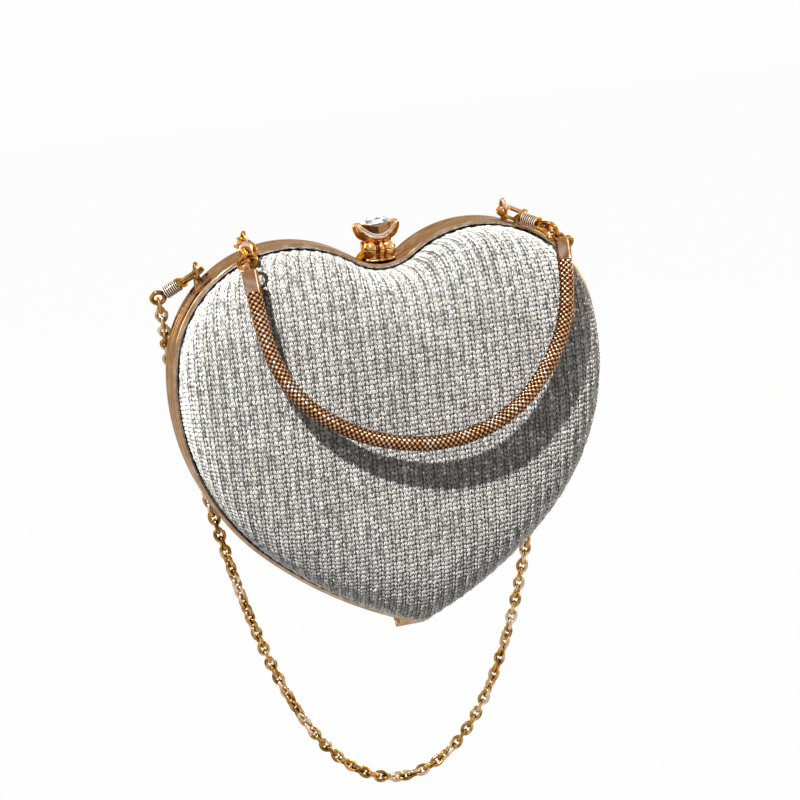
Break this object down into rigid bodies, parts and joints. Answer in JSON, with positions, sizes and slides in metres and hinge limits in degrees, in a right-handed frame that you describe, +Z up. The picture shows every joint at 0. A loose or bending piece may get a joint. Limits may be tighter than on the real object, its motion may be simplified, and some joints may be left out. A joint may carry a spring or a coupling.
{
  "type": "heart shaped clutch purse",
  "caption": "Heart shaped hard clutch with silver knit domes, gold hinged frame, clasp, snake handle and link chain strap.",
  "frame": {"origin": "bottom tip of the heart frame, on the seam, where a hand holds the purse up", "axes": "+Z up to the lobes, front face towards -Y, +X across to the right lobe as seen from the front"},
  "size_m": [0.1844, 0.0869, 0.265],
  "materials": {
    "gold_frame": "polished pale rose gold plate",
    "shell_plastic": "moulded shell, covered outside and lined inside",
    "silver_knit": "metallic silver rib knit",
    "satin_lining": "pale satin on card",
    "gold_hardware": "polished gold plate",
    "rose_snake": "fine bright rose gold snake chain",
    "gold_chain": "polished yellow gold plate",
    "spring_steel": "plain steel pin",
    "crystal": "clear facetted stone"
  },
  "bodies": {
    "back": {"back_rim": "gold_frame", "back_shell": "shell_plastic", "back_cover": "silver_knit", "back_lining": "satin_lining", "back_hinge_leaf": "gold_hardware", "hinge_pin": "spring_steel", "clasp_saddle": "gold_hardware", "clasp_pin": "spring_steel", "chain_lug_left": "gold_chain", "chain_lug_right": "gold_chain"},
    "front": {"front_rim": "gold_frame", "front_shell": "shell_plastic", "front_cover": "silver_knit", "front_lining": "satin_lining", "front_hinge_leaf": "gold_hardware", "front_catch": "gold_hardware", "handle_lug_left": "gold_hardware", "handle_lug_right": "gold_hardware"},
    "clasp": {"clasp_lever": "gold_hardware", "clasp_bowl": "gold_hardware", "clasp_stone": "crystal"},
    "handle": {"handle_hook_left": "gold_hardware", "handle_hook_right": "gold_hardware", "handle_swivel_left": "gold_hardware", "handle_swivel_right": "gold_hardware", "handle_ring_left": "gold_hardware", "handle_ring_right": "gold_hardware", "handle_cap_left": "rose_snake", "handle_cap_right": "rose_snake", "handle_snake": "rose_snake"},
    "chain": {"chain_hook_left": "gold_chain", "chain_hook_right": "gold_chain", "chain_swivel_left": "gold_chain", "chain_swivel_right": "gold_chain", "chain_links_left": "gold_chain", "chain_links_low": "gold_chain", "chain_links_right": "gold_chain"},
    "gate_handle_left": {"handle_gate_left": "gold_hardware"},
    "gate_handle_right": {"handle_gate_right": "gold_hardware"},
    "gate_chain_left": {"chain_gate_left": "gold_chain"},
    "gate_chain_right": {"chain_gate_right": "gold_chain"}
  },
  "joints": [
    {"name": "lid_hinge", "type": "hinge", "parent": "back", "child": "front", "pos_m": [0, 0, -0.0026], "axis": [1, 0, 0], "range_deg": [0, 90]},
    {"name": "clasp_tilt", "type": "hinge", "parent": "back", "child": "clasp", "pos_m": [0, 0.0052, 0.15984], "axis": [-1, 0, 0], "range_deg": [0, 12], "stiffness_Nm_per_rad": 0.02, "springref_deg": -8.59},
    {"name": "handle_swing", "type": "hinge", "parent": "front", "child": "handle", "pos_m": [0, -0.0029, 0.16934], "axis": [-1, 0, 0], "range_deg": [0, 180]},
    {"name": "chain_swing", "type": "hinge", "parent": "back", "child": "chain", "pos_m": [0, 0.006, 0.15825], "axis": [1, 0, 0], "range_deg": [0, 150]},
    {"name": "gate_handle_left_spring", "type": "hinge", "parent": "handle", "child": "gate_handle_left", "pos_m": [-0.05927, -0.01223, 0.16947], "axis": [-0.4695, 0.2136, -0.8567], "range_deg": [0, 12], "stiffness_Nm_per_rad": 0.004, "springref_deg": -17.19},
    {"name": "gate_handle_right_spring", "type": "hinge", "parent": "handle", "child": "gate_handle_right", "pos_m": [0.05644, -0.01258, 0.16462], "axis": [0, 0.4384, -0.8988], "range_deg": [0, 12], "stiffness_Nm_per_rad": 0.004, "springref_deg": -17.19},
    {"name": "gate_chain_left_spring", "type": "hinge", "parent": "chain", "child": "gate_chain_left", "pos_m": [-0.08085, 0.0082, 0.15427], "axis": [-0.3584, 0.3797, 0.8529], "range_deg": [0, 12], "stiffness_Nm_per_rad": 0.004, "springref_deg": -17.19},
    {"name": "gate_chain_right_spring", "type": "hinge", "parent": "chain", "child": "gate_chain_right", "pos_m": [0.08085, 0.0082, 0.15427], "axis": [-0.3584, -0.3797, -0.8529], "range_deg": [0, 12], "stiffness_Nm_per_rad": 0.004, "springref_deg": -17.19}
  ]
}
